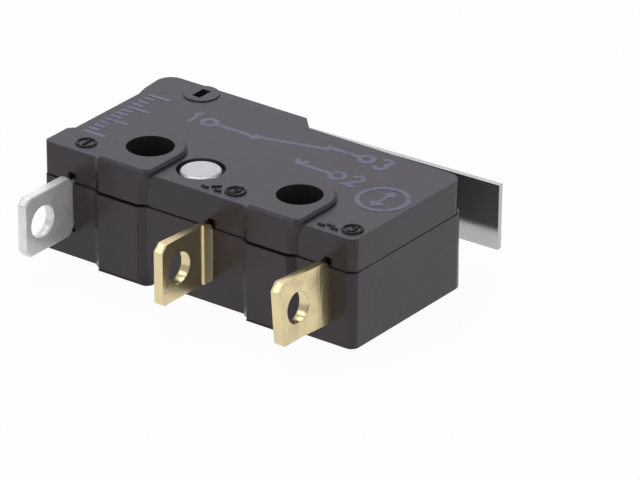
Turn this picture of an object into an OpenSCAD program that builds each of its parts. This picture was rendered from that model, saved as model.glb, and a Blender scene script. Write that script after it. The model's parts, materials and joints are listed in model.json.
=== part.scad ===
// Subminiature snap-action switch with a hinged sheet lever and three solder terminals.
// The Z axis is the axis of the left mounting hole and z = 0 is the plane it rests on.
// X runs along the length, Y from the terminal side to the lever side, Z through the thickness.

/* [Body] */
// Distance from the left hole to the left end
left_end = 5.2; // [4.8:0.1:6]
// Distance from the right hole to the right end
right_end = 5.1; // [4.8:0.1:6]
// Distance from the holes to the terminal side
front_reach = 2.35; // [2.2:0.05:3]
// Distance from the holes to the plunger side
back_reach = 7.1; // [7:0.1:8]
// Height of the raised end above the plunger side
raise_h = 0.9; // [0.6:0.1:1.2]
// Distance from the left hole to the foot of the step
raise_end = 4.85; // [4:0.05:5.5]
// Width of the slanted step
step_w = 0.85; // [0.5:0.05:1.2]
// Thickness of case and cover together, between the pads
body_t = 6; // [5.8:0.1:7]
// Thickness of the case up to the parting line
case_t = 4.15; // [3.8:0.05:4.4]
// Thickness of the side walls
wall = 0.75; // [0.6:0.05:0.85]
// Thickness of the floor and of the cover's plate
plate_t = 0.85; // [0.7:0.05:0.95]
// How far the cover stands back from the case
cover_inset = 0.1; // [0.05:0.01:0.15]
// Radius of the corners on the terminal side
front_r = 0.45; // [0.2:0.05:0.7]
// Radius of the corner on the plunger side
back_r = 0.8; // [0.3:0.1:1.5]
// Radius of the raised end's corner
raised_r = 1.3; // [0.5:0.1:1.8]
// Depth of the recess in the left end
recess_d = 0.3; // [0.1:0.05:0.4]
// Distance of that recess from the terminal side
recess_from = 1.95; // [1.5:0.05:3]
// Length of that recess
recess_l = 5.8; // [4:0.1:6]

/* [Mounting] */
// Distance between the two mounting holes
hole_pitch = 9.5; // [9.4:0.05:9.7]
// Diameter of the left hole
left_hole_d = 2.5; // [2:0.05:2.7]
// Diameter of the right hole
right_hole_d = 2.4; // [2:0.05:2.6]
// Wall of the bosses around the holes
boss_wall = 0.65; // [0.6:0.05:0.8]
// Radius of the pads around the holes
pad_r = 1.88; // [1.7:0.02:2]
// Height of the pads on the cover
pad_top_h = 0.25; // [0.1:0.05:0.4]
// Height of the pads under the case
pad_bottom_h = 0.15; // [0.1:0.05:0.3]
// How far the wall bulges past the terminal side at each hole
bulge_h = 0.3; // [0.15:0.05:0.5]
// How far the pads stand back from the bulges
pad_inset = 0.1; // [0.05:0.01:0.2]
// Gap between the cover's bulges and the case's
bulge_gap = 0.12; // [0.05:0.01:0.2]

/* [Cover rivet] */
// Distance of the rivet from the left hole, along the body
rivet_x = 3.38; // [3.3:0.02:3.45]
// Distance of the rivet from the line of the holes, towards the terminals
rivet_drop = 0.18; // [0:0.02:0.3]
// Diameter of the rivet's head
rivet_head_d = 2.3; // [2:0.05:2.4]
// Depth of the recesses for the rivet's head and foot
rivet_recess = 0.3; // [0.2:0.05:0.4]
// Gap around the rivet's head
rivet_gap = 0.12; // [0.05:0.01:0.2]
// Diameter of the rivet's shank
rivet_shank_d = 1; // [0.8:0.05:1.2]

/* [Terminals] */
// Distance of the common terminal from the left end
com_inset = 1.67; // [1.6:0.01:1.8]
// Distance of the normally open terminal from the left hole
no_past = 5.28; // [5.2:0.02:5.5]
// Distance of the normally closed terminal from the right hole, towards the right end
nc_past = 3.08; // [3:0.02:3.3]
// Width of the terminals
term_w = 3.3; // [3:0.05:3.35]
// Thickness of the terminals
term_t = 0.55; // [0.4:0.05:0.55]
// Length of the terminals outside the body
term_l = 3.75; // [3.3:0.05:5]
// Height of the terminals above the floor's underside
term_lift = 1.21; // [1.15:0.02:1.25]
// Chamfer of the terminals' free corners
term_chamfer = 0.38; // [0.1:0.02:0.6]
// Diameter of the solder holes
eye_d = 1.7; // [1.2:0.05:2]
// Distance of the solder holes from the free end
eye_inset = 1.36; // [1.2:0.02:1.6]
// Width of the terminals where they pass the wall
neck_w = 2.6; // [2:0.05:2.8]
// Length of the raised roots of the two contact terminals, outside the body
root_l = 0.66; // [0.3:0.02:0.9]
// Height of those roots
root_h = 0.18; // [0.05:0.01:0.2]
// Length of the slope up to the normally closed terminal's root
root_slope = 0.5; // [0.1:0.05:0.7]
// Clearance of the terminals in the wall
slot_gap = 0.06; // [0.03:0.01:0.1]
// Width of the open gap beside each terminal's root
side_gap = 0.12; // [0.05:0.01:0.15]
// Height of the notch in the cover over that gap
notch_h = 0.5; // [0.3:0.05:0.7]
// Height of the gap in the case
relief_h = 1.05; // [0.8:0.05:1.2]

/* [Lever] */
// Distance of the hinge from the left hole, away from the plunger
hinge_back = 2.16; // [2.1:0.02:2.4]
// Depth of the hinge below the plunger side
hinge_drop = 0.13; // [0.05:0.01:0.15]
// Thickness of the lever
lever_t = 0.3; // [0.2:0.02:0.32]
// Width of the lever
lever_w = 3.6; // [3.4:0.05:3.7]
// Length of the lever from its hinge
lever_l = 17.35; // [15:0.05:20]
// Height of the lever's underside above its hinge
lever_rise = 1.69; // [1.66:0.01:2.2]
// Angle of the free lever
lever_tilt = 2.3; // [2:0.1:2.6]
// Inner radius of the lever's bend
bend_r = 0.25; // [0.1:0.05:0.4]
// Width of the lever's leg
leg_w = 3.4; // [3.2:0.05:3.4]
// Width of the two hinge ears
ear_w = 0.75; // [0.6:0.01:0.76]
// Depth of the hinge ears in case and cover
ear_l = 0.7; // [0.4:0.05:0.75]
// Clearance of the ears in their slots
ear_gap = 0.11; // [0.05:0.01:0.12]
// Radius of the round boss over the cover's ear slot
ear_boss_r = 0.96; // [0.8:0.02:1]
// Height of that boss
ear_boss_h = 0.06; // [0.03:0.01:0.1]

/* [Plunger] */
// Distance of the plunger from the right hole, towards the left one
plunger_before = 1.9; // [1.8:0.05:2]
// Diameter of the plunger
plunger_d = 1.7; // [1.5:0.05:1.8]
// Clearance of the plunger in its guide
guide_gap = 0.05; // [0.03:0.01:0.1]
// Length of the plunger's foot along the body
foot_l = 2.1; // [1.9:0.05:2.2]
// Height of the plunger's foot
foot_h = 0.7; // [0.5:0.05:0.8]
// Length of the nose under the foot, along the body
nose_l = 0.8; // [0.6:0.05:1]
// Gap between parts that press on each other when the switch works
touch = 0.03; // [0.02:0.01:0.04]

/* [Snap mechanism] */
// Distance of the contacts from the right hole, towards the right end
contact_past = 1.7; // [1.6:0.05:1.8]
// Diameter of the contacts
contact_d = 1.3; // [1.1:0.05:1.4]
// Height of the contacts' heads
contact_h = 0.3; // [0.2:0.02:0.32]
// Diameter of the contacts' shanks
shank_d = 0.6; // [0.5:0.05:0.8]
// Travel of the moving contact
contact_travel = 1.18; // [1.17:0.01:1.25]
// Space between the normally closed arm and the body's wall
arm_gap = 0.15; // [0.1:0.05:0.3]
// Thickness of the contact blade
blade_t = 0.12; // [0.08:0.01:0.15]
// Width of the contact blade
blade_w = 3; // [2.8:0.05:3.1]
// Width of the blade's two rails
rail_w = 0.7; // [0.5:0.05:0.75]
// Depth of the blade's pivot below its contact
pivot_drop = 0.31; // [0.25:0.01:0.35]
// Depth of the notches that hold the springs' ends
notch_d = 0.12; // [0.1:0.01:0.15]
// Distance from the plunger's axis to the end of the blade's window
window_gap = 1.3; // [1.2:0.05:1.4]
// Distance of the bow spring's post from the left hole, away from the plunger
post_back = 0.25; // [0.2:0.05:0.4]
// Depth of the bow spring's seat below the blade's pivot
seat_drop = 1.1; // [1.05:0.01:1.15]
// Width of the bow spring
bow_w = 1.3; // [1:0.05:1.4]
// Thickness of the bow spring
bow_t = 0.1; // [0.08:0.01:0.12]
// Rise of the bow spring's arch
bow_rise = 0.8; // [0.5:0.05:1]
// Free play at the bow spring's moving end
bow_play = 0.14; // [0.13:0.01:0.2]

/* [Hidden] */
$fn = 64;
over = 1;
plastic = "#2b2b2d";
brass = "#cdb98a";
tinned = "#b9b9ba";
steel = "#c4c4c6";
spring_metal = "#b87a4a";
silver = "#dcdcdc";

// Heights
floor_z = pad_bottom_h;
top_z = floor_z + body_t;
part_z = floor_z + case_t;
mid_z = floor_z + body_t / 2;
inner_floor = floor_z + plate_t;
inner_roof = top_z - plate_t;

// Sides of the body and of the space inside it
case_l = left_end + hole_pitch + right_end;
x_left = -left_end;
x_right = case_l - left_end;
y_front = -front_reach;
y_raised = back_reach + raise_h;
in_left = x_left + recess_d + wall;
in_right = x_right - wall;
in_front = y_front + wall;
in_back = back_reach - wall;
step_angle = atan(raise_h / step_w);
in_r = max(back_r - wall, 0.2);
HOLES = [[0, left_hole_d], [hole_pitch, right_hole_d]];

// Bulges and pads, along the body from each hole's axis
bulge_left = 1.35;
bulge_right = 1.15;
bulge_ramp = 0.45;
pad_corner = 0.4;
recess_y = y_front + recess_from;

// Terminals
com_x = x_left + com_inset;
no_x = no_past;
nc_x = hole_pitch + nc_past;
TERM_X = [com_x, no_x, nc_x];
ROOT_H = [0, root_h, root_h];
term_z = floor_z + term_lift;
term_mid = term_z + term_w / 2;
neck_z = term_mid - neck_w / 2;
tip_y = y_front - term_l;
shelf_w = 1.3;
shelf_l = 2;
relief_z = term_z + 0.2;
relief_d = 0.45;

// Lever and its hinge
hinge_x = -hinge_back;
hinge_h = back_reach - hinge_drop;
lever_z = mid_z - lever_w / 2;
leg_z = mid_z - leg_w / 2;
ear_z = leg_z - ear_l;
well_gap = 0.1;
well_l = lever_t + 2 * (y_raised - hinge_h) * tan(4) + 2 * well_gap;
well_floor = hinge_h - ear_w / 2 - well_gap;

// Plunger
plunger_x = hole_pitch - plunger_before;
plunger_top = hinge_h + lever_rise / cos(lever_tilt) + (plunger_x - hinge_x) * tan(lever_tilt) - touch;
foot_top = in_back - 0.05;
foot_w = blade_w;
dome_h = plunger_d / 4;

// Contacts and arms: the stack from the wall down to the bosses
contact_x = hole_pitch + contact_past;
arm_top = in_back - arm_gap;
nc_face = arm_top - term_t - contact_h;
blade_contact_y = nc_face - touch - contact_h - blade_t / 2;
no_face = blade_contact_y - blade_t / 2 - contact_h - contact_travel;
no_arm_top = no_face - contact_h;
no_arm_end = contact_x + contact_d / 2 + 0.05;
nc_arm_end = contact_x - contact_d / 2 - 0.2;

// Blade: its pivot is the edge that bears in the common terminal's notch
pivot_h = blade_contact_y - pivot_drop;
seat_h = pivot_h - seat_drop;
window_end = plunger_x - window_gap;
pivot_x = com_x - term_t / 2 + notch_d - blade_t / 2 - touch;
blade_tilt = atan((blade_contact_y - pivot_h) / (contact_x - pivot_x));
blade_end = contact_x - pivot_x + contact_d / 2 + 0.2;
hook_l = pivot_x - in_left - 0.08;
window_w = blade_w - 2 * rail_w;
post_x = -post_back;
post_top = seat_h + 0.45;
arm_y = max(left_hole_d, right_hole_d) / 2 + boss_wall + 0.15;

// Bow spring: chord from its seat to the end of the blade's window
edge_y = pivot_h + (window_end - pivot_x) * tan(blade_tilt);
bow_seat_x = post_x - notch_d + touch;
bow_run = window_end - bow_seat_x;
bow_l = norm([bow_run, edge_y - seat_h]) - bow_play;
bow_angle = atan((edge_y - seat_h) / bow_run);
bow_r = (bow_l * bow_l / 4 + bow_rise * bow_rise) / (2 * bow_rise);

// The corner of a plate at (x, y), rounded to r; sx and sy point out of the plate.
module corner_cut(x, y, sx, sy, r) {
    translate([x - sx * r, y - sy * r])
        difference() {
            translate([sx > 0 ? 0 : -r - over, sy > 0 ? 0 : -r - over]) square(r + over);
            circle(r);
        }
}

// The wall's bulge at one hole
module bulge(inset) {
    y = y_front + inset;
    polygon([
        [-bulge_left - bulge_ramp, y + wall], [-bulge_left - bulge_ramp, y], [-bulge_left, y - bulge_h],
        [bulge_right, y - bulge_h], [bulge_right + bulge_ramp, y], [bulge_right + bulge_ramp, y + wall]
    ]);
}

// The body seen along Z, drawn in from its sides by inset
module body_outline(inset) {
    slant = inset * tan(step_angle / 2);
    y_top = y_raised - inset;
    difference() {
        union() {
            translate([x_left + inset, y_front + inset])
                square([case_l - 2 * inset, front_reach + back_reach - 2 * inset]);
            polygon([
                [x_left + inset, 0], [raise_end - slant, 0], [raise_end - slant, back_reach - inset],
                [raise_end - step_w - slant, y_top], [x_left + inset, y_top]
            ]);
        }
        corner_cut(x_left + inset, y_front + inset, -1, -1, front_r / 2);
        corner_cut(x_right - inset, y_front + inset, 1, -1, front_r);
        corner_cut(x_right - inset, back_reach - inset, 1, 1, back_r);
        corner_cut(x_left + inset, y_top, -1, 1, raised_r);
        translate([x_left + inset, recess_y])
            polygon([[-over, 0], [0, 0], [recess_d, recess_d], [recess_d, recess_l - recess_d],
                [0, recess_l], [-over, recess_l]]);
    }
    for (hole = HOLES) translate([hole[0], 0]) bulge(inset);
}

// The space inside the walls, less the bosses around the holes and the rivet
module cavity_outline() {
    difference() {
        translate([in_left, in_front]) square([in_right - in_left, in_back - in_front]);
        corner_cut(in_right, in_back, 1, 1, in_r);
        for (hole = HOLES) translate([hole[0], 0]) circle(hole[1] / 2 + boss_wall);
        translate([rivet_x, -rivet_drop]) circle(rivet_head_d / 2);
        translate([rivet_x - rivet_head_d / 2, in_front - over]) square([rivet_head_d, over - in_front - rivet_drop]);
    }
}

// The raised pad around one hole
module pad_outline() {
    y = y_front - bulge_h + pad_inset;
    difference() {
        union() {
            circle(pad_r);
            polygon([[-pad_r, 0], [-bulge_left - pad_inset / 2, y], [pad_r, y], [pad_r, 0]]);
        }
        corner_cut(pad_r, y, 1, -1, pad_corner);
    }
}

module mounting_bores() {
    for (hole = HOLES) translate([hole[0], 0, -over]) cylinder(d = hole[1], h = top_z + pad_top_h + 2 * over);
}

// The openings in the wall that the three terminals pass through, from z1 up to z2
module terminal_slots(z1, z2) {
    for (x = TERM_X)
        translate([x - term_t / 2 - slot_gap, y_front - bulge_h - over, z1])
            cube([term_t + 2 * slot_gap, bulge_h + wall + 2 * over, z2 - z1]);
}

// The open gaps beside the terminals' roots, from z1 up to z2
module side_gaps(z1, z2) {
    for (i = [0:len(TERM_X) - 1])
        translate([TERM_X[i] + ROOT_H[i], y_front - over, z1])
            cube([term_t / 2 + side_gap, over + relief_d, z2 - z1]);
}

// The well that the lever's leg swings in, with the ear slots from z1 up to z2
module hinge_well(z1, z2) {
    translate([hinge_x - well_l / 2, well_floor, leg_z - well_gap])
        cube([well_l, y_raised - well_floor + over, leg_w + 2 * well_gap]);
    translate([hinge_x - lever_t / 2 - ear_gap, hinge_h - ear_w / 2 - ear_gap, z1])
        cube([lever_t + 2 * ear_gap, ear_w + 2 * ear_gap, z2 - z1]);
}

module case() {
    color(plastic) difference() {
        union() {
            translate([0, 0, floor_z]) linear_extrude(case_t) body_outline(0);
            for (hole = HOLES) translate([hole[0], 0, 0]) linear_extrude(floor_z + plate_t / 2) pad_outline();
        }
        difference() {
            translate([0, 0, inner_floor]) linear_extrude(case_t) cavity_outline();
            shelves();
        }
        mounting_bores();
        terminal_slots(neck_z - slot_gap, part_z + over);
        side_gaps(relief_z, relief_z + relief_h);
        plunger_guide(mid_z, part_z + over);
        hinge_well(ear_z - ear_gap, mid_z);
        translate([rivet_x, -rivet_drop, -over]) {
            cylinder(d = rivet_shank_d + 2 * touch, h = part_z + 2 * over);
            cylinder(d = rivet_head_d + 2 * rivet_gap, h = over + floor_z + rivet_recess);
        }
    }
}

// Ledges on the floor under the terminals
module shelves() {
    for (x = TERM_X)
        translate([x - shelf_w / 2, in_front - over, inner_floor - over])
            cube([shelf_w, shelf_l + over, term_z - inner_floor + over]);
}

// The plunger's round guide, open above its axis up to z2
module plunger_guide(z1, z2) {
    r = plunger_d / 2 + guide_gap;
    translate([plunger_x, in_back - over, z1]) rotate([-90, 0, 0]) cylinder(r = r, h = wall + 2 * over);
    translate([plunger_x - r, in_back - over, z1]) cube([2 * r, wall + 2 * over, z2 - z1]);
}

module cover() {
    guide_r = plunger_d / 2;
    color(plastic) difference() {
        union() {
            translate([0, 0, part_z]) linear_extrude(top_z - part_z) body_outline(cover_inset);
            for (hole = HOLES) translate([hole[0], 0, top_z - plate_t / 2])
                linear_extrude(plate_t / 2 + pad_top_h) pad_outline();
            translate([hinge_x, hinge_h, top_z - plate_t / 2])
                cylinder(r = ear_boss_r, h = plate_t / 2 + ear_boss_h);
            // tongue that closes the plunger's guide
            translate([plunger_x - guide_r, in_back, mid_z])
                cube([2 * guide_r, wall - cover_inset, top_z - plate_t / 2 - mid_z]);
        }
        difference() {
            translate([0, 0, part_z - over]) linear_extrude(inner_roof - part_z + over) cavity_outline();
            hold_downs();
        }
        translate([0, 0, part_z - over]) linear_extrude(over + bulge_gap) bulge_band();
        mounting_bores();
        terminal_slots(part_z - over, neck_z + neck_w + slot_gap);
        side_gaps(part_z - over, part_z + notch_h);
        translate([plunger_x, in_back - over, mid_z]) rotate([-90, 0, 0])
            cylinder(r = guide_r + guide_gap, h = wall + 2 * over);
        hinge_well(mid_z, top_z + over);
        translate([rivet_x, -rivet_drop, 0]) {
            cylinder(d = rivet_shank_d + 2 * touch, h = top_z + over);
            translate([0, 0, top_z - rivet_recess])
                cylinder(d = rivet_head_d + 2 * rivet_gap, h = rivet_recess + over);
        }
    }
}

// Ribs under the cover's plate that keep the terminals down
module hold_downs() {
    for (x = TERM_X)
        translate([x - shelf_w / 2, in_front - over, term_z + term_w + touch])
            cube([shelf_w, shelf_l + over, inner_roof - term_z - term_w]);
}

// The strips outside the terminal side that the bulges stand on
module bulge_band() {
    for (hole = HOLES) translate([hole[0] - pad_r, y_front + cover_inset - bulge_h - over])
        square([2 * pad_r, bulge_h + over]);
}

module cover_rivet() {
    edge = 0.12;
    head_h = rivet_recess - touch;
    color(silver) translate([rivet_x, -rivet_drop, 0]) rotate_extrude()
        polygon([
            [0, floor_z + touch], [rivet_head_d / 2 - edge, floor_z + touch],
            [rivet_head_d / 2, floor_z + touch + edge], [rivet_head_d / 2, floor_z + rivet_recess],
            [rivet_shank_d / 2, floor_z + rivet_recess], [rivet_shank_d / 2, top_z - rivet_recess],
            [rivet_head_d / 2, top_z - rivet_recess], [rivet_head_d / 2, top_z - rivet_recess + head_h - edge],
            [rivet_head_d / 2 - edge, top_z - rivet_recess + head_h], [0, top_z - rivet_recess + head_h]
        ]);
}

// The lever lies along X from its hinge, with its leg pointing down, and is then tilted.
module lever() {
    outer_r = bend_r + lever_t;
    color(steel) translate([hinge_x, hinge_h, 0]) rotate(lever_tilt) {
        translate([0, 0, lever_z]) linear_extrude(lever_w) difference() {
            translate([-lever_t / 2, lever_rise - bend_r]) square([lever_l + lever_t / 2, outer_r]);
            translate([lever_t / 2 + bend_r, lever_rise - bend_r - over]) square([lever_l, bend_r + over]);
            translate([lever_t / 2 + bend_r, lever_rise - bend_r]) circle(bend_r);
            corner_cut(-lever_t / 2, lever_rise + lever_t, -1, 1, outer_r);
        }
        translate([-lever_t / 2, -ear_w / 2, leg_z]) cube([lever_t, lever_rise - bend_r + ear_w / 2, leg_w]);
        translate([-lever_t / 2, -ear_w / 2, ear_z]) cube([lever_t, ear_w, leg_w + 2 * ear_l]);
    }
}

// The plunger stands along Y: domed pin, foot and the nose that presses the blade.
module plunger() {
    r = plunger_d / 2;
    pin_h = plunger_top - foot_top + foot_h / 2;
    dome_r = (r * r + dome_h * dome_h) / (2 * dome_h);
    nose_r = nose_l / 2;
    nose_y = pivot_h + (plunger_x - pivot_x) * tan(blade_tilt) + blade_t / 2 + touch + nose_r;
    color("#8a2f2b") translate([plunger_x, foot_top - foot_h / 2, mid_z]) {
        rotate([-90, 0, 0]) rotate_extrude() {
            square([r, pin_h - dome_h]);
            intersection() {
                translate([0, pin_h - dome_r]) circle(dome_r);
                translate([0, pin_h - dome_h]) square([r, dome_h]);
            }
        }
        translate([-foot_l / 2, -foot_h / 2, -foot_w / 2]) cube([foot_l, foot_h, foot_w]);
        translate([0, nose_y - foot_top + foot_h / 2, -foot_w / 2]) {
            translate([-nose_r, 0, 0]) cube([nose_l, foot_top - foot_h / 2 - nose_y, foot_w]);
            cylinder(r = nose_r, h = foot_w);
        }
    }
}

// One terminal's tab and neck, drawn in the plane across the body, up to y_end inside
module tab_outline(y_end) {
    shoulder = (term_w - neck_w) / 2;
    z2 = term_z + term_w;
    difference() {
        union() {
            translate([tip_y, term_z]) square([term_l, term_w]);
            translate([tip_y + term_l / 2, neck_z]) square([wall + term_l / 2 + slot_gap, neck_w]);
            translate([in_front + slot_gap, term_z]) square([y_end - in_front - slot_gap, term_w]);
        }
        for (end = [term_z, z2]) translate([tip_y, end]) rotate(45)
            square(norm([term_chamfer, term_chamfer]), center = true);
        corner_cut(y_front, term_z, 1, -1, shoulder);
        corner_cut(y_front, z2, 1, 1, shoulder);
        translate([tip_y + eye_inset, term_mid]) circle(d = eye_d);
    }
}

// The flat part of a terminal at x, from its free end to y_end inside
module tab(x, y_end) {
    translate([x - term_t / 2, 0, 0]) rotate([90, 0, 90]) linear_extrude(term_t) tab_outline(y_end);
}

// The raised root on the tab at x, with a slope of length slope up to it
module root(x, slope) {
    face = x + term_t / 2;
    intersection() {
        translate([x, 0, 0]) rotate([90, 0, 90]) linear_extrude(term_t / 2 + root_h) tab_outline(y_front);
        linear_extrude(top_z)
            polygon([
                [x, y_front - root_l - slope], [face, y_front - root_l - slope], [face + root_h, y_front - root_l],
                [face + root_h, y_front], [x, y_front]
            ]);
    }
}

// An arm of terminal strip from (x1, y) to x2, thickness below y
module arm(x1, x2, y, w) {
    translate([min(x1, x2), y - term_t, term_mid - w / 2]) cube([abs(x2 - x1), term_t, w]);
}

module com_terminal() {
    bridge_y = pivot_h - 0.7;
    tongue_w = window_w - 0.5;
    notch_side = norm([notch_d, notch_d]);
    color(tinned) difference() {
        union() {
            tab(com_x, bridge_y);
            translate([com_x - term_t / 2, bridge_y - over, mid_z - tongue_w / 2])
                cube([term_t, pivot_h + 0.45 - bridge_y + over, tongue_w]);
            arm(com_x, post_x, arm_y + term_t, tongue_w);
            translate([post_x - term_t, arm_y, term_mid - tongue_w / 2])
                cube([term_t, post_top - arm_y, tongue_w]);
        }
        // notch for the blade's hook, then the one for the bow spring
        for (notch = [[com_x - term_t / 2, pivot_h], [post_x, seat_h]])
            translate([notch[0], notch[1], mid_z]) rotate(45)
                cube([notch_side, notch_side, blade_w], center = true);
    }
}

module no_terminal() {
    color(brass) difference() {
        union() {
            tab(no_x, no_arm_top - term_t / 2);
            root(no_x, root_h / 4);
            arm(no_x - term_t / 2, no_arm_end, no_arm_top, term_w);
        }
        translate([contact_x, no_arm_top - term_t - over, term_mid]) rotate([-90, 0, 0])
            cylinder(d = shank_d + 2 * touch, h = term_t + 2 * over);
    }
}

module nc_terminal() {
    color(brass) difference() {
        union() {
            tab(nc_x, arm_top);
            root(nc_x, root_slope);
            arm(nc_x, nc_arm_end, arm_top, term_w);
        }
        translate([contact_x, arm_top - term_t - over, term_mid]) rotate([-90, 0, 0])
            cylinder(d = shank_d + 2 * touch, h = term_t + 2 * over);
    }
}

// A contact on its shank, face up, with the shank l long below the head
module contact(l) {
    edge = 0.08;
    rotate([-90, 0, 0]) rotate_extrude()
        polygon([[0, -l], [shank_d / 2, -l], [shank_d / 2, 0], [contact_d / 2, 0],
            [contact_d / 2, contact_h - edge], [contact_d / 2 - edge, contact_h], [0, contact_h]]);
}

module no_contact() {
    color(silver) translate([contact_x, no_arm_top, term_mid]) contact(term_t);
}

module nc_contact() {
    color(silver) translate([contact_x, arm_top - term_t, term_mid]) mirror([0, 1, 0]) contact(term_t);
}

// Lays its children along X from the blade's pivot edge, at the blade's free angle.
module at_pivot() {
    translate([pivot_x, pivot_h, mid_z]) rotate(blade_tilt) children();
}

module contact_blade() {
    hook_w = window_w - 0.3;
    color(spring_metal) at_pivot() rotate([-90, 0, 0]) translate([0, 0, -blade_t / 2])
        linear_extrude(blade_t) difference() {
            translate([-hook_l, -blade_w / 2]) square([blade_end + hook_l, blade_w]);
            translate([0, -hook_w / 2]) square([over, hook_w]);
            translate([0.8, -window_w / 2]) square([window_end - pivot_x - 0.8, window_w]);
            translate([contact_x - pivot_x, 0]) circle(d = shank_d + 2 * touch);
        }
}

module moving_contact() {
    color(silver) at_pivot() translate([contact_x - pivot_x, 0, 0]) {
        translate([0, blade_t / 2, 0]) contact(blade_t);
        translate([0, -blade_t / 2, 0]) mirror([0, 1, 0]) contact(blade_t);
    }
}

// An arc of sheet between the post's notch and the blade's window
module bow_spring() {
    half = bow_l / 2;
    drop = bow_r - bow_rise;
    color(spring_metal) translate([bow_seat_x, seat_h, mid_z - bow_w / 2]) rotate(bow_angle)
        linear_extrude(bow_w) intersection() {
            translate([half, -drop]) difference() {
                circle(bow_r);
                circle(bow_r - bow_t);
            }
            square([bow_l, bow_rise + over]);
        }
}

case();
cover();
cover_rivet();
lever();
plunger();
com_terminal();
no_terminal();
nc_terminal();
contact_blade();
bow_spring();
moving_contact();
no_contact();
nc_contact();
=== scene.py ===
import json
import math
import bpy
import bmesh
import numpy as np
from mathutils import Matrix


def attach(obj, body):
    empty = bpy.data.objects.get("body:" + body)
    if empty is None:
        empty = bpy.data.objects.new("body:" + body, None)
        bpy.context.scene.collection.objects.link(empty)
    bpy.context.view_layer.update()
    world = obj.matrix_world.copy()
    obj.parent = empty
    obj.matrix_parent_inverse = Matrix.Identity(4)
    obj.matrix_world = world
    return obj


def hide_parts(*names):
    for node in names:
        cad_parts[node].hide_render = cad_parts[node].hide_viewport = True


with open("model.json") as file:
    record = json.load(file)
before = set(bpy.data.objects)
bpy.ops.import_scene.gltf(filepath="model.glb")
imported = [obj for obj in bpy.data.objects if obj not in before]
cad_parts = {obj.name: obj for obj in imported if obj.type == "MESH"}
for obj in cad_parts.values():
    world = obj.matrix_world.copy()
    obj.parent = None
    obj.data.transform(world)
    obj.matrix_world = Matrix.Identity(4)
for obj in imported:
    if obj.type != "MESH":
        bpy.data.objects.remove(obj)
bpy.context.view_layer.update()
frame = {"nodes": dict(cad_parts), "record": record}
mm = 0.001
print("frame loaded:", len(frame["nodes"]), "nodes")


# A socket with arithmetic: each expression adds the Math node that works it out
class Wire:
    def __init__(self, tree, socket):
        self.tree = tree
        self.socket = socket

    def maths(self, operation, *values):
        return self.tree.add("ShaderNodeMath", {"operation": operation}, dict(enumerate(values)))

    def __add__(self, other):
        return self.maths("ADD", self, other)

    def __radd__(self, other):
        return self.maths("ADD", other, self)

    def __sub__(self, other):
        return self.maths("SUBTRACT", self, other)

    def __rsub__(self, other):
        return self.maths("SUBTRACT", other, self)

    def __mul__(self, other):
        return self.maths("MULTIPLY", self, other)

    def __rmul__(self, other):
        return self.maths("MULTIPLY", other, self)

    def __truediv__(self, other):
        return self.maths("DIVIDE", self, other)

    def __rtruediv__(self, other):
        return self.maths("DIVIDE", other, self)

    def atLeast(self, other):
        return self.maths("MAXIMUM", self, other)

    # 0 below start, 1 above end, and smooth between them
    def ramp(self, start, end):
        return self.tree.add("ShaderNodeMapRange", {"interpolation_type": "SMOOTHSTEP"},
                             {"Value": self, "From Min": start, "From Max": end})


# A material's node tree, with one way to add any node
class Finish:
    def __init__(self, name):
        self.material = bpy.data.materials.new(name)
        self.material.use_nodes = True
        self.nodes = self.material.node_tree.nodes
        self.links = self.material.node_tree.links
        self.shader = self.nodes["Principled BSDF"]

    # Settings are the node's own properties, sockets are values or wires, and out is the output used
    def add(self, kind, settings=None, sockets=None, out=0):
        node = self.nodes.new(kind)
        for key, value in (settings or {}).items():
            setattr(node, key, value)
        for key, value in (sockets or {}).items():
            self.plug(node.inputs[key], value)
        return Wire(self, node.outputs[out])

    def plug(self, socket, value):
        if isinstance(value, Wire):
            self.links.new(value.socket, socket)
        else:
            socket.default_value = value

    # Values and wires for the shader's own sockets, with underscores for the spaces in their names
    def set(self, **sockets):
        for key, value in sockets.items():
            self.plug(self.shader.inputs[key.replace("_", " ")], value)
        return self.material

    # The place on the object in millimetres, and one of its coordinates
    def place(self):
        coords = self.add("ShaderNodeTexCoord", out=3)
        return self.add("ShaderNodeVectorMath", {"operation": "SCALE"}, {0: coords, "Scale": 1 / mm})

    def axis(self, place, index):
        return self.add("ShaderNodeSeparateXYZ", None, {0: place}, out=index)

    # Noise from -1 to 1 with features size millimetres across, longer along an axis whose stretch is small
    def noise(self, place, size, detail=2.0, stretch=(1, 1, 1)):
        scaled = self.add("ShaderNodeVectorMath", {"operation": "MULTIPLY"}, {0: place, 1: stretch})
        value = self.add("ShaderNodeTexNoise", {"noise_dimensions": "3D"},
                         {"Vector": scaled, "Scale": 1 / size, "Detail": detail, "Roughness": 0.55})
        return (value - 0.5) * 2

    def mix(self, factor, first, second):
        return self.add("ShaderNodeMix", {"data_type": "RGBA", "clamp_factor": True},
                        {"Factor": factor, 6: first, 7: second}, out=2)

    def bump(self, height, distance, **sockets):
        return self.add("ShaderNodeBump", None, {"Height": height, "Distance": distance, **sockets})


# Black plastic: glossy walls and a duller top with a painted bluish sheen, fine pits, faint clouds in
# colour and gloss, and here and there a pale speck. Sizes and heights are in millimetres, depths in
# metres.
blackPlastic = {"colour": (0.0235, 0.0150, 0.0225, 1), "cloud": (0.034, 0.0245, 0.0330, 1),
                "wallGloss": 0.22, "topGloss": 0.34, "topFrom": 6.0, "cloudGloss": 0.05, "pitGloss": 0.03,
                "shine": 0.42, "topSheen": 0.4, "topSheenColour": (0.030, 0.032, 0.062, 1), "cloudSize": 4.0,
                "pitSize": 0.08, "dentSize": 0.48, "dentShare": 0.8, "pitDepth": 0.0035 * mm,
                "speck": (0.22, 0.21, 0.20, 1), "speckSize": 0.16, "specksFrom": 0.74, "speckShare": 0.8}
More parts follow.
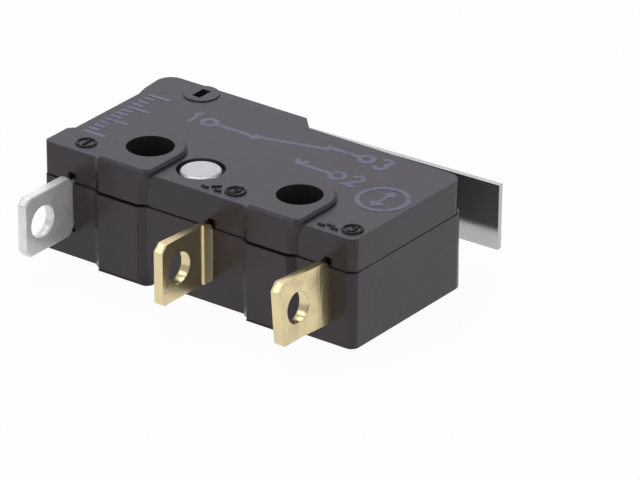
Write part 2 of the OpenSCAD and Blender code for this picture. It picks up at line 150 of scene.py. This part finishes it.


# Colour is the base mixed with clouds, a painted bluish sheen on top and specks; height is pits plus
# larger dents
def makePlastic(name, look):
    finish = Finish(name)
    place = finish.place()
    cloud = finish.noise(place, look["cloudSize"], 4.0)
    pits = finish.noise(place, look["pitSize"]) + finish.noise(place, look["dentSize"]) * look["dentShare"]
    speck = finish.noise(place, look["speckSize"], 1.0).ramp(look["specksFrom"], look["specksFrom"] + 0.06)
    top = finish.axis(place, 2).ramp(look["topFrom"] - 0.1, look["topFrom"] + 0.1)
    colour = finish.mix(cloud.ramp(-0.5, 0.6), look["colour"], look["cloud"])
    # Painted sheen: above the top's height the colour turns bluer and lighter, standing in for the top's
    # reflection
    colour = finish.mix(top * cloud.ramp(-0.7, 0.4) * look["topSheen"], colour, look["topSheenColour"])
    colour = finish.mix(speck * look["speckShare"], colour, look["speck"])
    gloss = top * (look["topGloss"] - look["wallGloss"]) + look["wallGloss"]
    return finish.set(Base_Color=colour,
                      Roughness=gloss + cloud * look["cloudGloss"] + pits * look["pitGloss"],
                      Specular_IOR_Level=look["shine"], Normal=finish.bump(pits, look["pitDepth"]))


# Sheet metal: fine rolling lines along the axis whose stretch is small, soft stains in colour and gloss.
# A rolled sheet turns downwards below a height: its surface falls by the slope times the square of the
# way below, over that way plus the softness. A turned sheet faces further towards -Y, by one angle in
# front of a place along Y and by another behind it.
def makeSheet(name, look):
    finish = Finish(name)
    place = finish.place()
    lines = finish.noise(place, look["lineSize"], 3.0, look["stretch"])
    stain = finish.noise(place, look["stainSize"], 3.0)
    normal = finish.bump(lines + stain * 2.0, look["depth"])
    if "rolled" in look:
        rolled = look["rolled"]
        below = (rolled["height"] - finish.axis(place, 2)).atLeast(0)
        fall = below * below / (below + rolled["softness"]) * math.tan(math.radians(rolled["degrees"]))
        normal = finish.bump(fall * -1, mm, Normal=normal)
    if "turned" in look:
        turned = look["turned"]
        along = finish.axis(place, 1)
        front, behind = (math.tan(math.radians(turned[key])) for key in ("front", "behind"))
        rise = along * front + (along - turned["from"]).atLeast(0) * (behind - front)
        normal = finish.bump(rise, mm, Normal=normal)
    return finish.set(Base_Color=finish.mix(stain.ramp(-0.5, 0.6), look["colour"], look["stain"]),
                      Roughness=lines * 0.06 + stain * 0.05 + look["roughness"],
                      Metallic=look["metal"], Normal=normal)


redPlastic = dict(blackPlastic, colour=(0.30, 0.05, 0.04, 1), cloud=(0.26, 0.045, 0.035, 1),
                  topFrom=9.0)
brassSheet = {"colour": (0.80, 0.67, 0.38, 1), "stain": (0.70, 0.60, 0.37, 1), "stainSize": 1.4,
              "lineSize": 0.12, "stretch": (1, 0.12, 1), "depth": 0.003 * mm,
              "roughness": 0.24, "metal": 0.93}
tinSheet = {"colour": (0.98, 0.965, 0.945, 1), "stain": (0.80, 0.80, 0.81, 1), "stainSize": 0.8,
            "lineSize": 0.15, "stretch": (1, 0.3, 1), "depth": 0.004 * mm,
            "roughness": 0.36, "metal": 0.38}
steelSheet = {"colour": (0.54, 0.52, 0.52, 1), "stain": (0.47, 0.455, 0.455, 1), "stainSize": 2.5,
              "lineSize": 0.08, "stretch": (0.05, 1, 1), "depth": 0.001 * mm,
              "roughness": 0.19, "metal": 0.86,
              "rolled": {"height": 2.7, "degrees": 12.0, "softness": 0.3}}
copperStrip = {"colour": (0.62, 0.34, 0.18, 1), "stain": (0.52, 0.30, 0.17, 1), "stainSize": 2.0,
               "lineSize": 0.08, "stretch": (0.05, 1, 1), "depth": 0.002 * mm,
               "roughness": 0.28, "metal": 1.0}
silverDisc = {"colour": (0.85, 0.84, 0.82, 1), "stain": (0.72, 0.70, 0.66, 1), "stainSize": 0.5,
              "lineSize": 0.1, "stretch": (1, 1, 1), "depth": 0.002 * mm,
              "roughness": 0.25, "metal": 1.0}
rivetMetal = {"colour": (0.52, 0.51, 0.53, 1), "stain": (0.46, 0.45, 0.47, 1), "stainSize": 0.8,
              "lineSize": 0.2, "stretch": (1, 1, 1), "depth": 0.003 * mm,
              "roughness": 0.24, "metal": 1.0}

finishes = {"black_plastic": makePlastic("blackPlastic", blackPlastic),
            "plunger_plastic": makePlastic("redPlastic", redPlastic),
            "stainless": makeSheet("steelSheet", steelSheet),
            "rivet_metal": makeSheet("rivetMetal", rivetMetal),
            "tinned_brass": makeSheet("tinSheet", tinSheet),
            "brass": makeSheet("brassSheet", brassSheet),
            "spring_copper": makeSheet("copperStrip", copperStrip),
            "silver": makeSheet("silverDisc", silverDisc)}
slots = {part["node"]: part["material_slot"] for part in frame["record"]["subparts"]}
bodyOf = {node: body for body, names in frame["record"]["behaviour"]["bodies"].items() for node in names}
for node, slot in slots.items():
    target = frame["nodes"][node]
    target.data.materials.clear()
    target.data.materials.append(finishes[slot])
print("finishes:", len(finishes))


# A piece with the shape of a CAD node and its edges rounded. The node's triangles are merged, its flat
# regions joined and cut along the look's planes, each a place in millimetres along an axis. The piece's
# own change then moves the points, and each edge sharper than 25 degrees gets a round.
def roundedCopy(node, look, change=None):
    data = frame["nodes"][node].data.copy()
    data.name = node + "_shell"
    shape = bmesh.new()
    shape.from_mesh(data)
    bmesh.ops.remove_doubles(shape, verts=shape.verts, dist=0.0005 * mm)
    bmesh.ops.dissolve_limit(shape, angle_limit=math.radians(1.0), verts=shape.verts, edges=shape.edges)
    for place, axis in look.get("cuts", ()):
        everything = shape.verts[:] + shape.edges[:] + shape.faces[:]
        through = np.multiply(axis, place * mm)
        bmesh.ops.bisect_plane(shape, geom=everything, plane_co=through, plane_no=axis)
    shape.to_mesh(data)
    shape.free()
    if change:
        points = np.empty(len(data.vertices) * 3, np.float32)
        data.vertices.foreach_get("co", points)
        data.vertices.foreach_set("co", change(points.reshape(-1, 3) / mm).ravel() * mm)
    data.polygons.foreach_set("use_smooth", [True] * len(data.polygons))
    piece = bpy.data.objects.new(data.name, data)
    bpy.context.scene.collection.objects.link(piece)
    bevel = piece.modifiers.new("edges", "BEVEL")
    bevel.width = look["rounding"] * mm
    bevel.segments = 3
    bevel.limit_method = "ANGLE"
    bevel.angle_limit = math.radians(25)
    bevel.miter_outer = "MITER_ARC"
    bevel.use_clamp_overlap = look.get("clamped", True)
    flat = piece.modifiers.new("flat", "WEIGHTED_NORMAL")
    flat.mode = "FACE_AREA"
    flat.weight = 100
    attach(piece, bodyOf[node])
    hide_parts(node)
    return piece


# Which values lie at a place, in millimetres
def near(values, place, within=0.02):
    return abs(values - place) < within


# A number of each face, its normal or its center, as three rows
def ofFaces(piece, name):
    values = np.empty(len(piece.data.polygons) * 3, np.float32)
    piece.data.polygons.foreach_get(name, values)
    return values.reshape(-1, 3).T


# The case and the cover share the places of the mounting holes, a rear left corner with a tighter arc
# and a slope up to it, and the ledge that a pad leaves where it passes its bulge
housing = {"holes": (0.0, 9.5), "boreReach": 1.3,
           "arc": 1.3, "tight": 0.85,  # the corner's radius in the solids, and here
           "slopeFrom": 5.4, "slopeTo": 5.8, "slopeIn": 0.11,  # the recess's end along Y, and how far in
           "ledge": 1.6, "ledgeReach": 0.35}  # from a hole to the ledge's middle, and half its length
case = {"rounding": 0.045, "left": -5.2, "back": 8.0, "front": -2.35,
        "ledge": 0.575, "ledgeTo": (1.0, 0.22),  # the ledge's height, and its new ones
        "flush": 0.14, "flushTo": -4.96, "recessFrom": -0.35,
        "flare": 0.1, "flareFrom": -2.15, "flareRun": 0.4}
cover = {"rounding": 0.045, "left": -5.1, "back": 7.9, "front": -2.25,
         "ledge": 5.725, "ledgeTo": (5.3, 6.0),
         "wider": 0.06, "widerFrom": 13.7, "widerRun": 0.5,
         "padTop": 6.4, "padRadius": 1.88, "padFront": 2.55,
         "rim": 0.13, "rimFrom": 1.5, "rimReach": 2.2,  # the rim's width, and where its points lie
         "cuts": [(6.27, (0, 0, 1))]}


# A point on the old arc keeps its direction from the arc's centre while the radius shrinks and the
# centre moves towards the corner; the end of the recess moves in and back, which makes the slope
def tightenCorner(points, look):
    x, y, _ = points.T
    centreX = look["left"] + housing["arc"]
    centreY = look["back"] - housing["arc"]
    share = housing["tight"] / housing["arc"]
    onArc = near(np.hypot(x - centreX, y - centreY), housing["arc"])
    onArc = onArc & (x < centreX + 0.01) & (y > centreY - 0.01)
    x[:] = np.where(onArc, look["left"] + housing["tight"] + (x - centreX) * share, x)
    y[:] = np.where(onArc, look["back"] - housing["tight"] + (y - centreY) * share, y)
    recessEnd = (x < look["left"] + 0.02) & near(y, housing["slopeFrom"])
    x[:] = np.where(recessEnd, look["left"] + housing["slopeIn"], x)
    y[:] = np.where(recessEnd, housing["slopeTo"], y)


# On the ledge beside each pad, the inner corner goes to the first height and the rest to the second
def raiseLedge(points, look):
    x, y, z = points.T
    for hole in housing["holes"]:
        beside = x - hole - housing["ledge"]
        onLedge = near(z, look["ledge"], 0.03) & (y < look["front"] + 0.03)
        onLedge = onLedge & near(beside, 0, housing["ledgeReach"])
        inner = onLedge & near(beside, 0, 0.03) & near(y, look["front"], 0.03)
        z[:] = np.where(inner, look["ledgeTo"][0], np.where(onLedge, look["ledgeTo"][1], z))


# A pad's rim slopes: the outer points of its top move towards the hole, by the rim's width over the
# pad's reach on that side, times their distance
def slopeRims(points):
    x, y, z = points.T
    for hole in housing["holes"]:
        rim = (z > cover["padTop"] - 0.05) & (np.hypot(x - hole, y) > cover["rimFrom"])
        rim = rim & near(x, hole, cover["rimReach"])
        reach = np.where(y < 0, cover["padFront"], cover["padRadius"])
        x[:] = np.where(rim, hole + (x - hole) * (1 - cover["rim"] / cover["padRadius"]), x)
        y[:] = np.where(rim, y * (1 - cover["rim"] / reach), y)


# The case's front left corner moves in until it is flush with the cover's, and the underside flares
# forwards by an amount times the way past a place along Y
def fitCase(points):
    tightenCorner(points, case)
    raiseLedge(points, case)
    x, y, z = points.T
    x += np.where((x < case["flushTo"]) & (y < case["recessFrom"]), case["flush"], 0)
    way = np.clip((case["flareFrom"] - y) / case["flareRun"], 0, 1)
    y -= np.where(z < 0.05, case["flare"], 0) * way
    return points


# The cover's right wall moves out by an amount times the way past a place along X
def fitCover(points):
    tightenCorner(points, cover)
    raiseLedge(points, cover)
    slopeRims(points)
    points[:, 0] += cover["wider"] * np.clip((points[:, 0] - cover["widerFrom"]) / cover["widerRun"], 0, 1)
    return points


# The common terminal and the rivet keep their shape. The terminal's rounds may run into each other.
comTerminal = {"rounding": 0.10, "clamped": False}
coverRivet = {"rounding": 0.12}

# Both brass terminals have a lower corner that is cut less than the upper one, and a top edge that
# gets narrower from the free end to the wall
brassTab = {"tip": -6.1, "wall": -2.34, "thick": 0.55,
            "cut": 0.38, "kept": 0.14,  # the lower corner's cut in the solids, and here
            "narrowFrom": -5.7, "narrowRun": 3.3, "narrowLow": 4.31, "narrowDepth": 0.35, "narrowBy": 0.3}
topCut = (4.30, (0, 0, 1))
openTerminal = {"rounding": 0.06, "cuts": [topCut], "face": 5.555,
                "rootFoot": -3.055, "rootTop": -3.01, "place": -2.88,  # the root's start, and its new one
                "step": 0.10, "rise": 0.27, "riseFrom": -2.5,
                "sheet": dict(brassSheet, turned={"front": 3.0, "from": 0.0, "behind": 3.0})}
closedTerminal = {"rounding": 0.07, "face": 12.855, "lean": 4.0,
                  "rise": 0.2, "riseFrom": -4.6, "riseTo": -2.6, "power": 1.1,
                  "cuts": [topCut] + [(place, (0, 1, 0)) for place in (-4.6, -3.9, -3.3, -2.6)],
                  "sheet": dict(brassSheet, turned={"front": 6.5, "from": -4.0, "behind": 1.8},
                                stain=(0.58, 0.50, 0.31, 1), stainSize=0.9,
                                stretch=(1, 1, 0.15), depth=0.0035 * mm)}


# The two points of the lower free corner move towards it by the difference between the cuts, and a
# point of the far face moves along X by the greatest amount times its way from the free end to the
# wall, times its height in the top band
def trimTab(points, face):
    x, y, z = points.T
    low = z.min()
    less = brassTab["cut"] - brassTab["kept"]
    z[:] = np.where(near(y, brassTab["tip"]) & near(z, low + brassTab["cut"]), z - less, z)
    y[:] = np.where(near(y, brassTab["tip"] + brassTab["cut"]) & near(z, low), y - less, y)
    way = np.clip((y - brassTab["narrowFrom"]) / brassTab["narrowRun"], 0, 1)
    height = np.clip((z - brassTab["narrowLow"]) / brassTab["narrowDepth"], 0, 1)
    far = (x < face - brassTab["thick"] / 2) & (y < brassTab["wall"])
    x += np.where(far, brassTab["narrowBy"] * way * height, 0)


# The normally open terminal's root starts at its own place with a small step and rises to the wall
def fitOpenTerminal(points):
    look = openTerminal
    trimTab(points, look["face"])
    x, y, _ = points.T
    onRoot = (x > look["face"] + 0.05) & (y < brassTab["wall"])
    height = np.where(y > look["riseFrom"], look["rise"], look["step"])
    x[:] = np.where(onRoot, look["face"] + height, x)
    y[:] = np.where(near(y, look["rootTop"]), look["place"], y)
    y[:] = np.where(near(y, look["rootFoot"]), look["place"] - 0.02, y)
    return points


# The normally closed terminal's face rises to the root by the rise times a power of the way there,
# and the terminal leans: outside the wall each point moves along X by the sine of the lean times its
# depth below the top edge
def fitClosedTerminal(points):
    look = closedTerminal
    trimTab(points, look["face"])
    x, y, z = points.T
    outside = y < brassTab["wall"]
    way = np.clip((y - look["riseFrom"]) / (look["riseTo"] - look["riseFrom"]), 0, 1) ** look["power"]
    x[:] = np.where(outside & (x > look["face"] - 0.05), look["face"] + look["rise"] * way, x)
    x += np.where(outside, math.sin(math.radians(look["lean"])) * (z.max() - z), 0)
    return points


# The lever's lower edge is nearer to the body towards the free end: each point moves along Y by the
# sine of the lean, times its depth below the upper edge, times its way along the lever
lever = {"rounding": 0.03, "lean": 1.7, "from": -1.5, "to": 15.0}


def fitLever(points):
    depth = points[:, 2].max() - points[:, 2]
    way = np.clip((points[:, 0] - lever["from"]) / (lever["to"] - lever["from"]), 0, 1)
    points[:, 1] -= math.sin(math.radians(lever["lean"])) * depth * way
    return points


# The housing's rounds and pad rims get paler specks and the bluish sheen as painted highlights, and its
# bores a duller copy
# of the plastic as painted shade: a face is in a bore if it is upright and near a hole, and on a rim if it
# is slanted and near the top of a pad
# Painted highlights: paler, smaller and more frequent specks, and the painted sheen from a height of 2 up,
# on the rounds and rims
edgeHighlightPlastic = dict(blackPlastic, speck=(0.32, 0.31, 0.30, 1), speckSize=0.07, specksFrom=0.40,
                     topFrom=2.0)
# Painted shade: the bores get a copy of the plastic with less shine and more roughness, so that they look
# darker
boreShadePlastic = dict(blackPlastic, colour=(0.028, 0.023, 0.024, 1), cloud=(0.032, 0.027, 0.028, 1),
                   topFrom=9.0, shine=0.2, wallGloss=0.5)
edgeHighlightFinish = makePlastic("edgeHighlightPlastic", edgeHighlightPlastic)
boreShadeFinish = makePlastic("boreShadePlastic", boreShadePlastic)


def finishHousing(piece):
    piece.data.materials.append(edgeHighlightFinish)
    piece.data.materials.append(boreShadeFinish)
    piece.modifiers["edges"].material = 1
    x, y, z = ofFaces(piece, "center") / mm
    upwards = ofFaces(piece, "normal")[2]
    reach = np.minimum(*[np.hypot(x - hole, y) for hole in housing["holes"]])
    inBore = (reach < housing["boreReach"]) & near(upwards, 0, 0.5)
    onRim = (z > cover["padTop"] - cover["rim"]) & near(upwards, 0.65, 0.3)
    piece.data.polygons.foreach_set("material_index", inBore.astype(np.int32) * 2 + onRim)


# The seen face of a brass terminal has a sheet of its own, turned as the bent metal is
def finishTab(piece, node, look):
    piece.data.materials.append(makeSheet(node + "_face", look["sheet"]))
    seenFace = ofFaces(piece, "normal")[0] > 0.9
    piece.data.polygons.foreach_set("material_index", seenFace.astype(np.int32))


looks = {"case": (case, fitCase), "cover": (cover, fitCover), "com_terminal": (comTerminal, None),
         "no_terminal": (openTerminal, fitOpenTerminal),
         "nc_terminal": (closedTerminal, fitClosedTerminal),
         "lever": (lever, fitLever), "cover_rivet": (coverRivet, None)}
shells = {node: roundedCopy(node, look, change) for node, (look, change) in looks.items()}
for node in ("case", "cover"):
    finishHousing(shells[node])
for node in ("no_terminal", "nc_terminal"):
    finishTab(shells[node], node, looks[node][0])
print("rounded pieces:", len(shells))


# A path of straight lines through some points
def line(*points):
    return np.array(points, float)


# A path on a circle: radius times cosine and sine, from one angle to another in degrees
def arc(x, y, radius, start=0.0, end=360.0, steps=33):
    angle = np.radians(np.linspace(start, end, steps))
    return np.stack([x + radius * np.cos(angle), y + radius * np.sin(angle)], 1)


# Plain digits as paths in a box 0.6 wide and 1 high, with the middle of the box at (x, y)
def digit(number, x, y, height):
    shapes = {1: [line((-0.18, 0.25), (0.03, 0.46), (0.03, -0.5))],
              2: [np.concatenate([arc(0, 0.22, 0.26, 170, -40, 13), line((-0.27, -0.48), (0.3, -0.48))])],
              3: [arc(0, 0.24, 0.24, 160, -80, 13), arc(0, -0.23, 0.27, 80, -160, 13)]}
    return [path * height + (x, y) for path in shapes[number]]


# Each row of vectors over its own length
def unit(vectors):
    return vectors / np.maximum(np.linalg.norm(vectors, axis=1, keepdims=True), 1e-9)


# A stroke is a profile carried along a path: each path point gets the profile's points, sideways along
# the path's normal, widened where it bends, and upwards along Z from the level. Open ends are closed.
# Faces count their points from start.
def carryProfile(profile, path, level, start):
    closed = np.allclose(path[0], path[-1])
    if closed:
        path = path[:-1]
    before = np.roll(path, 1, 0)
    after = np.roll(path, -1, 0)
    if not closed:
        before[0] = path[0]
        after[-1] = path[-1]
    arriving = unit(path - before)
    leaving = unit(after - path)
    ahead = unit(arriving + leaving)
    lastStep = np.where(leaving.any(1, keepdims=True), leaving, arriving)
    bend = np.clip((ahead * lastStep).sum(1), 0.4, 1)
    side = np.stack([ahead[:, 1], -ahead[:, 0]], 1) / bend[:, None]
    rows, columns = len(path), len(profile)
    flat = path[:, None, :] + side[:, None, :] * profile[None, :, :1]
    height = np.broadcast_to(level + profile[None, :, 1:], (rows, columns, 1))
    row = np.arange(rows if closed else rows - 1)[:, None]
    column = np.arange(columns)[None, :]
    nextRow = (row + 1) % rows
    nextColumn = (column + 1) % columns
    corners = [row * columns + column, row * columns + nextColumn,
               nextRow * columns + nextColumn, nextRow * columns + column]
    faces = (np.stack(corners, 2).reshape(-1, 4) + start).tolist()
    if not closed:
        faces.append((start + np.arange(columns)[::-1]).tolist())
        faces.append((start + (rows - 1) * columns + np.arange(columns)).tolist())
    return np.concatenate([flat, height], 2).reshape(-1, 3), faces


# One piece from many strokes, each a hair's breadth higher than the one before, so that none is level
# with another where they cross
def addMarks(name, paths, profile, level, lift, finish):
    points = np.empty((0, 3))
    faces = []
    for count, path in enumerate(paths):
        strokePoints, strokeFaces = carryProfile(profile, path, level + lift * count, len(points))
        points = np.concatenate([points, strokePoints])
        faces += strokeFaces
    data = bpy.data.meshes.new(name)
    data.from_pydata((points * mm).tolist(), [], faces)
    data.materials.append(finish)
    piece = bpy.data.objects.new(name, data)
    bpy.context.scene.collection.objects.link(piece)
    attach(piece, "root")


# Moulded marks: by each terminal its number in a ring, and by two of them a contact symbol, whose
# blade ends higher than it starts where the contact is open. The strokes have round backs.
# Painted shade: the marks' plastic is darker than the cover's, standing in for the shade on their relief
shadedMarkPlastic = dict(blackPlastic, colour=(0.008, 0.007, 0.008, 1), cloud=(0.012, 0.010, 0.011, 1),
                   topFrom=9.0, shine=0.25)
moulded = {"level": 6.13, "lift": 0.0005, "height": 0.11, "width": 0.17, "y": -1.24, "ringRadius": 0.5,
           "digitHeight": 0.55, "places": {1: -3.17, 2: 6.42, 3: 13.72}, "symbolBefore": 1.18,
           "symbolBelow": 0.2, "symbolRise": {2: 0.36, 3: 0.0}}
angles = np.radians(np.linspace(0, 180, 7))
roundBack = np.stack([-np.cos(angles) * moulded["width"] / 2, np.sin(angles) * moulded["height"]], 1)
paths = []
for number, x in moulded["places"].items():
    paths.append(arc(x, moulded["y"], moulded["ringRadius"]))
    paths += digit(number, x, moulded["y"], moulded["digitHeight"])
for number, rise in moulded["symbolRise"].items():
    middle = (moulded["places"][number] - moulded["symbolBefore"], moulded["y"] - moulded["symbolBelow"])
    symbol = [line((-0.58, -0.28), (-0.2, -0.28)), line((-0.14, -0.1), (0.26, rise - 0.1)),
              line((0.2, -0.28), (0.58, -0.28))]
    paths += [path + middle for path in symbol]
addMarks("moulded_marks", paths, roundBack, moulded["level"], moulded["lift"],
         makePlastic("shadedMarkPlastic", shadedMarkPlastic))

# Ink: violet grey, thin where it has rubbed off
printedInk = {"colour": (0.112, 0.118, 0.20, 1), "worn": (0.035, 0.035, 0.055, 1), "wearSize": 0.45,
              "grainSize": 0.09, "grainShare": 0.6, "roughness": 0.45}


def makeInk(name, look):
    finish = Finish(name)
    place = finish.place()
    grain = finish.noise(place, look["grainSize"]) * look["grainShare"]
    wear = finish.noise(place, look["wearSize"], 4.0) + grain
    colour = finish.mix(wear.ramp(0.0, 0.7), look["colour"], look["worn"])
    return finish.set(Base_Color=colour, Roughness=wear * 0.05 + look["roughness"])


# The print: a diagram with the common line and blade and the two contacts with their numbers, a
# graduated scale beside the left hole, and a travel arrow in a ring
ink = {"level": 6.148, "lift": 0.0003, "height": 0.006, "width": 0.27}
diagram = {"common": (0.3, 4.5), "pivot": (3.2, 4.5), "closed": (6.9, 5.75), "open": (6.9, 3.3),
           "outer": 9.0, "dot": 0.38, "pivotRadius": 0.16, "bladeEnd": (0.3, -0.2), "prong": (0.35, 0.45),
           "digitHeight": 1.2, "digitBefore": 1.0, "digitPast": 1.45}
scale = {"x": -4.3, "y": -0.1, "step": 0.45, "ticks": 13, "longEvery": 4, "short": 0.7, "long": 1.45}
arrows = {"x": 12.85, "y": 2.45, "radius": 1.3, "reach": 0.8, "head": 0.34}
flatStroke = np.array([(-0.5, 0), (-0.5, 1), (0.5, 1), (0.5, 0)]) * (ink["width"], ink["height"])


def diagramPaths(look):
    common, pivot, closed, opened = (np.array(look[key]) for key in ("common", "pivot", "closed", "open"))
    dot, outer, size = look["dot"], look["outer"], look["digitHeight"]
    left, right = np.array(look["prong"]) * (-1, 1), np.array(look["prong"])
    numbers = [(1, common[0] - look["digitBefore"], common[1]), (3, outer + look["digitPast"], closed[1]),
               (2, outer + look["digitPast"], opened[1])]
    return [arc(*common, dot), line(common + (dot, 0), pivot), arc(*pivot, look["pivotRadius"], steps=13),
            line(pivot, closed + look["bladeEnd"]), line(closed, (outer, closed[1])),
            arc(outer + dot, closed[1], dot), line(opened + right, opened, opened + left),
            line(opened, (outer, opened[1])), arc(outer + dot, opened[1], dot),
            *(path for number, x, y in numbers for path in digit(number, x, y, size))]


def scalePaths(look):
    ticks = []
    for count in range(look["ticks"]):
        y = look["y"] + count * look["step"]
        length = look["short"] if count % look["longEvery"] else look["long"]
        ticks.append(line((look["x"], y), (look["x"] + length, y)))
    return ticks


def arrowPaths(look):
    x, y, reach, head = (look[key] for key in ("x", "y", "reach", "head"))
    return [arc(x, y, look["radius"]), line((x, y - reach), (x, y + reach)),
            line((x - head, y + reach - head), (x, y + reach), (x + head, y + reach - head)),
            line((x - head, y - reach + head), (x, y - reach), (x + head, y - reach + head))]


paths = diagramPaths(diagram) + scalePaths(scale) + arrowPaths(arrows)
addMarks("printed_marks", paths, flatStroke, ink["level"], ink["lift"], makeInk("printInk", printedInk))
print("marks on the cover:", len(paths), "printed strokes")


# The floor: pale paper that shows near white to the camera, in reflections and through anything clear,
# and keeps the object's shadow
studio = {"floor": 1.5, "floorColour": (0.86, 0.86, 0.86, 1), "floorGlow": 0.955, "worldLight": 0.5,
          "overheadLight": 0.6, "sideLight": 0.22, "rightShare": 0.72, "rearLight": 0.042}
half = studio["floor"]
corners = [(-half, -half, 0), (half, -half, 0), (half, half, 0), (-half, half, 0)]
floorMesh = bpy.data.meshes.new("floor")
floorMesh.from_pydata(corners, [], [(0, 1, 2, 3)])
floor = bpy.data.objects.new("floor", floorMesh)
bpy.context.scene.collection.objects.link(floor)
paper = Finish("paper")
paper.set(Base_Color=studio["floorColour"], Roughness=0.9, Specular_IOR_Level=0.0)
seen, mirrored, through = (paper.add("ShaderNodeLightPath", out=k) for k in (0, 3, 6))
glow = paper.add("ShaderNodeEmission", None, {"Color": (1, 1, 1, 1), "Strength": 1.0})
lit = Wire(paper, paper.shader.outputs[0])
blend = paper.add("ShaderNodeMixShader", None,
                  {0: seen.atLeast(mirrored).atLeast(through) * studio["floorGlow"], 1: lit, 2: glow})
paper.links.new(blend.socket, paper.nodes["Material Output"].inputs[0])
floorMesh.materials.append(paper.material)

world = bpy.data.worlds.new("studio")
bpy.context.scene.world = world
world.use_nodes = True
world.node_tree.nodes["Background"].inputs["Color"].default_value = (1, 1, 1, 1)
world.node_tree.nodes["Background"].inputs["Strength"].default_value = studio["worldLight"]


# A round lamp at a place in metres, turned towards its aim
def addLamp(name, place, aim, size, power, colour=(1, 1, 1)):
    lamp = bpy.data.objects.new(name, bpy.data.lights.new(name, "AREA"))
    lamp.data.shape = "DISK"
    lamp.data.size = size
    lamp.data.energy = power
    lamp.data.color = colour
    away = np.subtract(place, aim)
    away = away / np.linalg.norm(away)
    side = np.cross((0, 1, 0.01), away)
    side = side / np.linalg.norm(side)
    lamp.matrix_world = [(*column, 0) for column in (side, np.cross(away, side), away)] + [(*place, 1)]
    bpy.context.scene.collection.objects.link(lamp)


middle = (0.005, 0.002, 0)
addLamp("overhead", (-0.12, 0.10, 0.45), middle, 0.35, studio["overheadLight"])
addLamp("left", (-0.27, -0.218, 0.36), middle, 0.22, studio["sideLight"])
addLamp("right", (0.285, 0.20, 0.36), middle, 0.22, studio["sideLight"] * studio["rightShare"])
addLamp("rear", (-0.135, 0.165, 0.105), (0, 0.002, 0.006), 0.16, studio["rearLight"], (0.94, 0.95, 1.0))

# The camera: azimuth from -Y towards +X and elevation in degrees, then distance and aim in metres
view = {"azimuth": 37.031, "elevation": 25.863, "roll": -0.055, "distance": 321.4 * mm, "lens": 356.6,
        "aim": (8.113 * mm, 3.515 * mm, 2.108 * mm)}
turn, lift, roll = (math.radians(view[key]) for key in ("azimuth", "elevation", "roll"))
ahead = np.array([-math.sin(turn) * math.cos(lift), math.cos(turn) * math.cos(lift), -math.sin(lift)])
across = np.array([math.cos(turn), math.sin(turn), 0])
upward = np.cross(across, ahead)
right = math.cos(roll) * across + math.sin(roll) * upward
up = math.cos(roll) * upward - math.sin(roll) * across
spot = np.array(view["aim"]) - view["distance"] * ahead
camera = bpy.data.objects.new("camera", bpy.data.cameras.new("camera"))
camera.data.lens = view["lens"]
camera.data.sensor_width = 36
camera.data.clip_start = 0.01
camera.data.clip_end = 10
camera.matrix_world = [(*right, 0), (*up, 0), (*-ahead, 0), (*spot, 1)]
bpy.context.scene.collection.objects.link(camera)
bpy.context.scene.camera = camera
bpy.context.scene.view_settings.view_transform = "Standard"
print("studio and camera ready")
